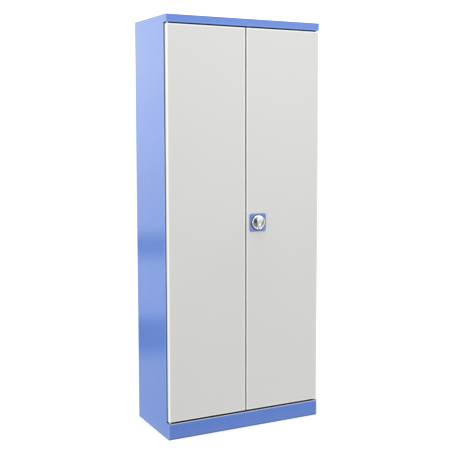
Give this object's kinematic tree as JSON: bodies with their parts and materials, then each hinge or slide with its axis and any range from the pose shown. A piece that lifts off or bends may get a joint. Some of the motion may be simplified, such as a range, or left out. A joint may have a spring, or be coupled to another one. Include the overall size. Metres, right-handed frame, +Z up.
{
  "type": "tool cabinet with doors",
  "caption": "Tall free-standing steel cabinet with two flat overlay doors, a turn-knob three-point lock and loose shelves on slotted uprights.",
  "frame": {"origin": "centre of the base on the floor, half-way between the knob's front and the back panel", "axes": "+Z up, +X to the right seen from the front, +Y from the front to the back"},
  "size_m": [0.8, 0.427, 1.95],
  "materials": {
    "carcass_paint": "satin powder coat",
    "door_paint": "satin powder coat",
    "shelf_paint": "satin powder coat",
    "zinc_steel": "zinc plated",
    "nylon": "natural nylon",
    "buffer_rubber": "matt",
    "escutcheon_plastic": "semi-gloss",
    "knob_chrome": "bright plated",
    "core_brass": "nickel washed"
  },
  "bodies": {
    "cabinet": {"left_side_panel": "carcass_paint", "right_side_panel": "carcass_paint", "top_panel": "carcass_paint", "plinth_front": "carcass_paint", "plinth_rear": "carcass_paint", "floor_panel": "carcass_paint", "back_panel": "carcass_paint", "header_rail": "carcass_paint", "plinth_rail": "carcass_paint", "header_keeper_tabs": "carcass_paint", "plinth_keeper_tabs": "carcass_paint", "door_stops": "carcass_paint", "front_left_upright": "shelf_paint", "rear_left_upright": "shelf_paint", "front_right_upright": "shelf_paint", "rear_right_upright": "shelf_paint", "shelf_1": "shelf_paint", "shelf_2": "shelf_paint", "shelf_3": "shelf_paint", "shelf_4": "shelf_paint", "shelf_stiffeners": "shelf_paint", "shelf_clips_1": "zinc_steel", "shelf_clips_2": "zinc_steel", "shelf_clips_3": "zinc_steel", "shelf_clips_4": "zinc_steel", "upper_hinge_pins": "zinc_steel", "lower_hinge_pins": "zinc_steel", "thrust_washers": "nylon", "door_buffers": "buffer_rubber"},
    "left_door": {"left_door_panel": "door_paint", "left_door_stiffener": "door_paint", "left_hinge_plates": "door_paint", "left_hinge_bushes": "nylon", "bolt_guides": "zinc_steel"},
    "right_door": {"right_door_panel": "door_paint", "right_door_stiffener": "door_paint", "right_hinge_plates": "door_paint", "right_hinge_bushes": "nylon", "rod_guides": "zinc_steel", "handle_escutcheon": "escutcheon_plastic", "lock_case": "zinc_steel"},
    "knob": {"knob": "knob_chrome", "lock_barrel": "knob_chrome", "spindle": "zinc_steel", "spindle_nut": "zinc_steel", "lock_tongue": "zinc_steel", "pinion": "zinc_steel"},
    "lock_core": {"lock_core": "core_brass"},
    "upper_rod": {"upper_rod": "zinc_steel", "upper_rack": "zinc_steel"},
    "lower_rod": {"lower_rod": "zinc_steel", "lower_rack": "zinc_steel"},
    "upper_bolt": {"upper_shoot_bolt": "zinc_steel", "upper_thumb_pin": "zinc_steel"},
    "lower_bolt": {"lower_shoot_bolt": "zinc_steel", "lower_thumb_pin": "zinc_steel"}
  },
  "joints": [
    {"name": "left_door_swing", "type": "hinge", "parent": "cabinet", "child": "left_door", "pos_m": [-0.3895, -0.1745, 0.9], "axis": [0, 0, -1], "range_deg": [0, 180]},
    {"name": "right_door_swing", "type": "hinge", "parent": "cabinet", "child": "right_door", "pos_m": [0.3895, -0.1745, 0.9], "axis": [0, 0, 1], "range_deg": [0, 180]},
    {"name": "knob_turn", "type": "hinge", "parent": "right_door", "child": "knob", "pos_m": [0.062, -0.1865, 0.995], "axis": [0, 1, 0], "range_deg": [0, 90]},
    {"name": "key_turn", "type": "hinge", "parent": "knob", "child": "lock_core", "pos_m": [0.062, -0.1865, 0.995], "axis": [0, 1, 0], "range_deg": [0, 90]},
    {"name": "upper_rod_slide", "type": "slide", "parent": "right_door", "child": "upper_rod", "axis": [0, 0, 1], "range_m": [0, 0.01767]},
    {"name": "lower_rod_slide", "type": "slide", "parent": "right_door", "child": "lower_rod", "axis": [0, 0, -1], "range_m": [0, 0.01767]},
    {"name": "upper_bolt_slide", "type": "slide", "parent": "left_door", "child": "upper_bolt", "axis": [0, 0, 1], "range_m": [0, 0.015]},
    {"name": "lower_bolt_slide", "type": "slide", "parent": "left_door", "child": "lower_bolt", "axis": [0, 0, -1], "range_m": [0, 0.015]}
  ],
  "couplings": [
    {"joint": "upper_rod_slide", "follows": "knob_turn", "m_per_rad": 0.01125},
    {"joint": "lower_rod_slide", "follows": "knob_turn", "m_per_rad": 0.01125}
  ]
}
